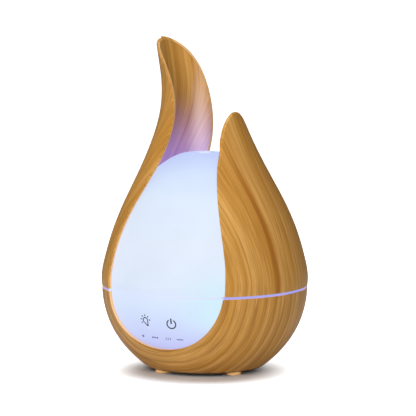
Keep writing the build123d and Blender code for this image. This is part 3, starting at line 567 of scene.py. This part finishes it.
def draw_lamp(mesh):
    """Bulb outline, its cap, and six rays round it."""
    middle, near, far, pen = 0.6, 2.9, 4.1, 0.62
    stroke_arc(mesh, (0, middle), 1.9, pen, -50, 230)
    for side in (-1, 1):
        stroke_line(mesh, (side * 1.22, -0.85), (side * 0.45, -2.9), pen)
    stroke_line(mesh, (-0.75, -2.9), (0.75, -2.9), 0.9)
    for turn in range(-10, 191, 40):
        c, s = math.cos(math.radians(turn)), math.sin(math.radians(turn))
        stroke_line(mesh, (near * c, middle + near * s), (far * c, middle + far * s), pen)


def draw_power(mesh):
    """Open ring with an upright bar in its gap."""
    stroke_arc(mesh, (0, 0), 3.05, 0.8, 122, 418)
    stroke_line(mesh, (0, 0.1), (0, 3.9), 0.95)


lay_on_panel("lamp_mark", draw_lamp, -7.8, 39.6, math.radians(18), ink)
lay_on_panel("power_mark", draw_power, 9.4, 38.9, 0.0, ink)


# %% Run time marks
def draw_short(mesh):
    """One dot: a short run."""
    dot(mesh, (0, 0), 0.85)


def draw_long(mesh):
    """Three dots: a long run."""
    for offset in (-1.8, 0.0, 1.8):
        dot(mesh, (offset, 0), 0.65)


def draw_wave(mesh):
    """Three slanted bars: mist in pulses."""
    for offset in (-1.5, 0.0, 1.5):
        stroke_line(mesh, (offset - 0.25, -0.9), (offset + 0.25, 0.9), 0.42)


def draw_steady(mesh):
    """One bar: steady mist."""
    stroke_line(mesh, (-2.2, 0), (2.2, 0), 0.6)


lay_on_panel("short_time_mark", draw_short, -13.5, 28.6, 0.0, faint_ink)
lay_on_panel("long_time_mark", draw_long, -3.9, 28.4, 0.0, faint_ink)
lay_on_panel("pulse_mark", draw_wave, 5.6, 28.2, 0.0, faint_ink)
lay_on_panel("steady_mark", draw_steady, 13.6, 28.0, 0.0, faint_ink)
print("six marks on the panel")

# %% [markdown]
# ## Floor and light
# A pale sweep under a large soft light gives the soft shadow of a product picture. The floor is a wide
# disc, and away from the middle of the shadow a painted light, seen by the camera only, lifts it to
# plain white and cuts the shadow short. It shows from above only, so that the underside of the case
# can be looked at.

# %% Floor
sheet = bmesh.new()
bmesh.ops.create_circle(sheet, cap_ends=True, segments=96, radius=6.0)
floor_data = bpy.data.meshes.new("floor")
sheet.to_mesh(floor_data)
sheet.free()
floor = bpy.data.objects.new("floor", floor_data)
bpy.context.scene.collection.objects.link(floor)
pale = finish_of("pale floor", (0.83, 0.86, 0.89, 1), gloss=0.7, bump=0.0, variation=0.0)
tree = pale.node_tree
surface = tree.nodes["Principled BSDF"]
spot, _ = object_place(tree)
shadow_middle = Vector((back.x, back.y, 0)) * 0.020 - right * 0.004
spot = vector_maths(tree, "SUBTRACT", spot, shadow_middle)["Vector"]
away = vector_maths(tree, "LENGTH", spot)["Value"]
seen = add(tree, "ShaderNodeLightPath").outputs["Is Camera Ray"]
# painted light on the floor: camera rays only, white outside a circle round the middle of the shadow
painted_floor_light = together(tree, between(tree, away, 0.034, 0.074), seen)
tree.links.new(blend(tree, painted_floor_light, BLACK, (1, 1, 1, 1)), surface.inputs["Emission Color"])
surface.inputs["Emission Strength"].default_value = 1.0
from_above = other_part(tree, add(tree, "ShaderNodeNewGeometry").outputs["Backfacing"])
tree.links.new(from_above, surface.inputs["Alpha"])
floor_data.materials.append(pale)
print("floor ready")


# %% Lights
def softbox(name, towards, distance, width, height, power):
    """Area light that looks at the middle of the case from a direction."""
    lamp = bpy.data.lights.new(name, "AREA")
    lamp.shape = "RECTANGLE"
    lamp.size, lamp.size_y = width, height
    lamp.energy = power
    thing = bpy.data.objects.new(name, lamp)
    bpy.context.scene.collection.objects.link(thing)
    way = Vector(towards).normalized()
    thing.location = Vector((0, 0, 0.1)) + way * distance
    thing.rotation_euler = way.to_track_quat("Z", "Y").to_euler()


softbox("key light", (0.26, -0.95, 0.5), 1.3, 0.9, 0.9, 7.8)
softbox("low fill", (0.4, -0.9, -0.02), 1.0, 0.6, 0.1, 1.5)
softbox("back light", (0.3, 0.95, 0.15), 1.1, 0.3, 0.8, 0.15)
softbox("top light", (-0.1, -0.1, 1.0), 1.0, 0.8, 0.8, 5.5)
print("four soft boxes")

# %% [markdown]
# The tent round the case is brightest overhead and in front. Its sides and its rear are darker,
# which keeps the edges of the case rich in colour. The camera itself sees plain white.

# %% Tent
world = bpy.data.worlds.new("studio")
bpy.context.scene.world = world
world.use_nodes = True
tent = world.node_tree
shell = tent.nodes["Background"]
way = add(tent, "ShaderNodeTexCoord").outputs["Generated"]
height = add(tent, "ShaderNodeSeparateXYZ", Vector=way).outputs[2]
sideways = maths(tent, "ABSOLUTE", vector_maths(tent, "DOT_PRODUCT", way, tuple(right))["Value"])
nearness = vector_maths(tent, "DOT_PRODUCT", way, tuple(back))["Value"]
light = together(tent, between(tent, height, -0.2, 0.9, 0.16, 0.6),
                 between(tent, sideways, 0.2, 0.95, 1.0, 0.3),
                 between(tent, nearness, -0.8, 0.2, 0.2, 1.0))
seen = add(tent, "ShaderNodeLightPath").outputs["Is Camera Ray"]
shell.inputs["Color"].default_value = (1, 1, 1, 1)
tent.links.new(maths(tent, "MAXIMUM", light, maths(tent, "MULTIPLY", seen, 1.05)),
               shell.inputs["Strength"])
print("tent lit")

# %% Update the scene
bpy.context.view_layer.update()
